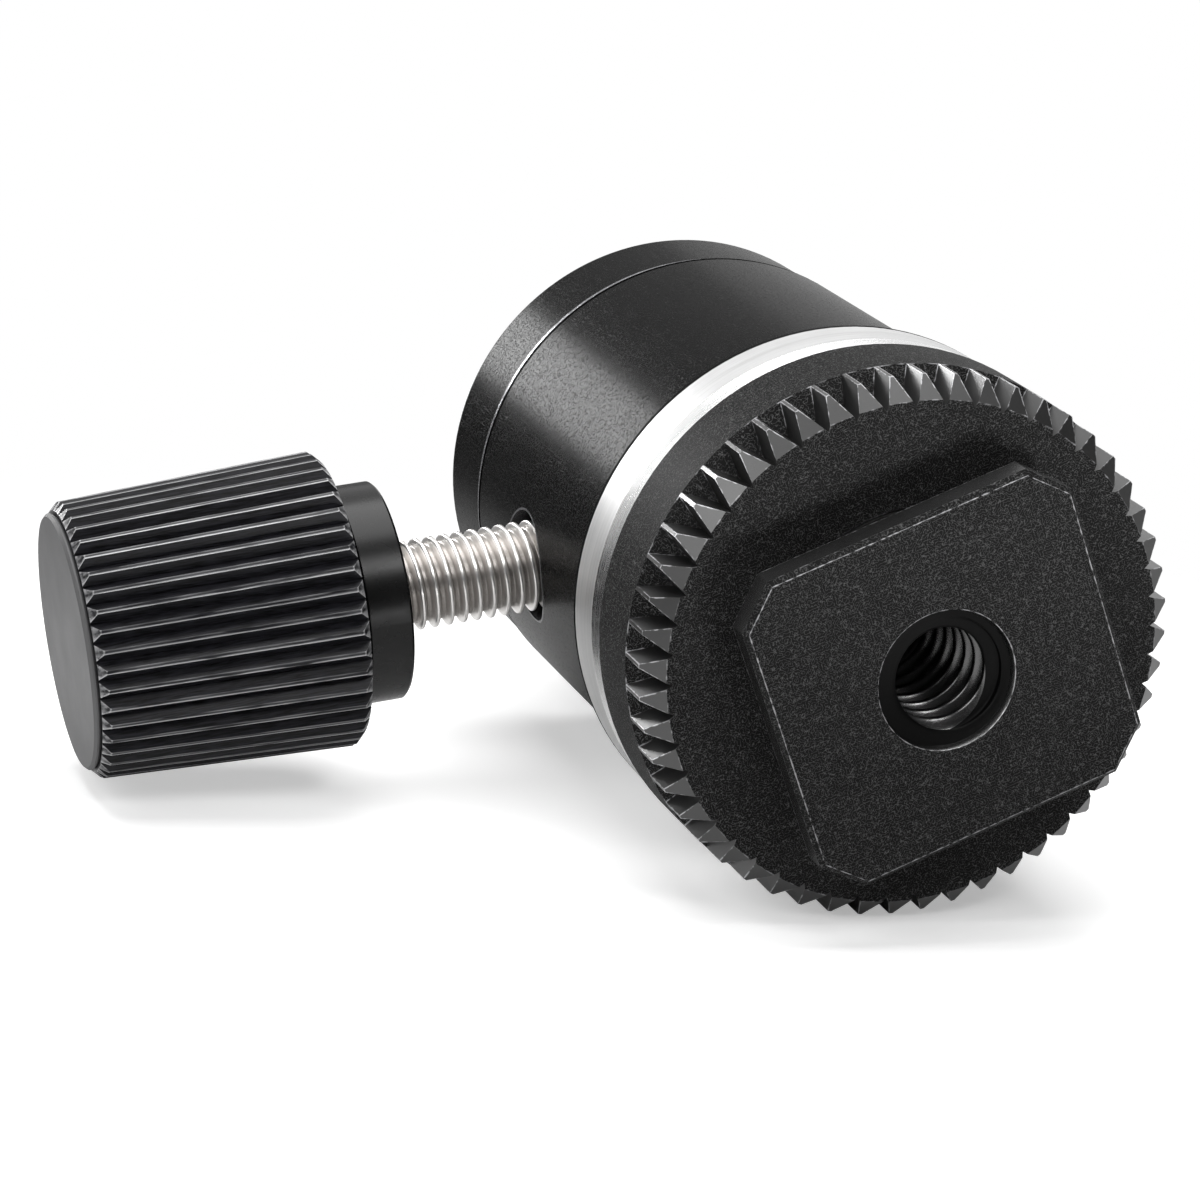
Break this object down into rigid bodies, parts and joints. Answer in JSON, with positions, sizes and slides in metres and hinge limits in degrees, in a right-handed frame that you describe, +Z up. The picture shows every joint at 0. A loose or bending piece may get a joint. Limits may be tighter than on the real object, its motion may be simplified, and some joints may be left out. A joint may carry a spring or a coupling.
{
  "type": "hot shoe ball head",
  "caption": "Small ball head on an accessory shoe foot, with a toothed lock wheel, a ribbed side knob and a camera screw.",
  "frame": {"origin": "centre of the underside of the shoe plate", "axes": "+Z up along the head's axis from the shoe foot to the ball, +Y the way the foot slides into the shoe, -X roughly towards the lock knob"},
  "size_m": [0.0541, 0.0313, 0.0582],
  "materials": {
    "black_coarse": "black anodised, coarse blasted grain",
    "black_fine": "black powder coat, fine orange peel, satin",
    "black_ribs": "black anodised, edges worn bright",
    "black_satin": "smooth satin black",
    "grey_disc": "smooth matte grey",
    "silver": "turned and brushed, with a polished bevel",
    "stainless": "bright stainless thread",
    "dark_steel": "oiled steel",
    "polished_ball": "polished",
    "seat_plastic": "natural acetal",
    "pad_rubber": "black rubber with concentric grooves"
  },
  "bodies": {
    "head": {"shoe_foot": "black_coarse", "base_ring": "silver", "base_screws": "dark_steel", "housing": "black_fine", "top_cap": "black_fine", "upper_seat": "seat_plastic"},
    "washer": {"pressure_washer": "dark_steel"},
    "wheel": {"lock_wheel": "black_coarse"},
    "brake": {"brake_pin": "dark_steel"},
    "knob": {"lock_stud": "stainless", "knob_hub": "black_satin", "knob_body": "black_ribs", "knob_nut": "stainless", "knob_end_cap": "grey_disc"},
    "clamp": {"clamp_piston": "dark_steel", "lower_seat": "seat_plastic"},
    "ball": {"ball": "polished_ball"},
    "neck": {"ball_stem": "polished_ball"},
    "table": {"platform": "black_fine", "platform_pad": "pad_rubber", "camera_screw": "stainless"}
  },
  "joints": [
    {"name": "wheel_lift", "type": "slide", "parent": "head", "child": "washer", "axis": [0, 0, 1], "range_m": [-0.002, 0]},
    {"name": "wheel_turn", "type": "hinge", "parent": "washer", "child": "wheel", "pos_m": [0, 0, 0.0042], "axis": [0, 0, 1], "range_deg": [-720, 0]},
    {"name": "brake_slide", "type": "slide", "parent": "head", "child": "brake", "axis": [0.9681, 0.2504, 0], "range_m": [-0.0012, 0.0006]},
    {"name": "knob_turn", "type": "hinge", "parent": "brake", "child": "knob", "pos_m": [-0.02033, -0.00526, 0.02795], "axis": [0.9681, 0.2504, 0], "range_deg": [-540, 270]},
    {"name": "clamp_lift", "type": "slide", "parent": "head", "child": "clamp", "axis": [0, 0, 1], "range_m": [-0.0006, 0.0003]},
    {"name": "ball_pan", "type": "hinge", "parent": "head", "child": "ball", "pos_m": [0, 0, 0.0387], "axis": [0, 0, 1], "continuous": true},
    {"name": "neck_tilt", "type": "hinge", "parent": "ball", "child": "neck", "pos_m": [0, 0, 0.0387], "axis": [1, 0, 0], "range_deg": [-35, 35]},
    {"name": "table_spin", "type": "hinge", "parent": "neck", "child": "table", "pos_m": [0, 0, 0.0387], "axis": [0, 0, 1], "continuous": true}
  ],
  "couplings": [
    {"joint": "wheel_lift", "follows": "wheel_turn", "m_per_rad": 0.00015915},
    {"joint": "brake_slide", "follows": "knob_turn", "m_per_rad": 0.00012732},
    {"joint": "clamp_lift", "follows": "knob_turn", "m_per_rad": 0.000063661}
  ]
}
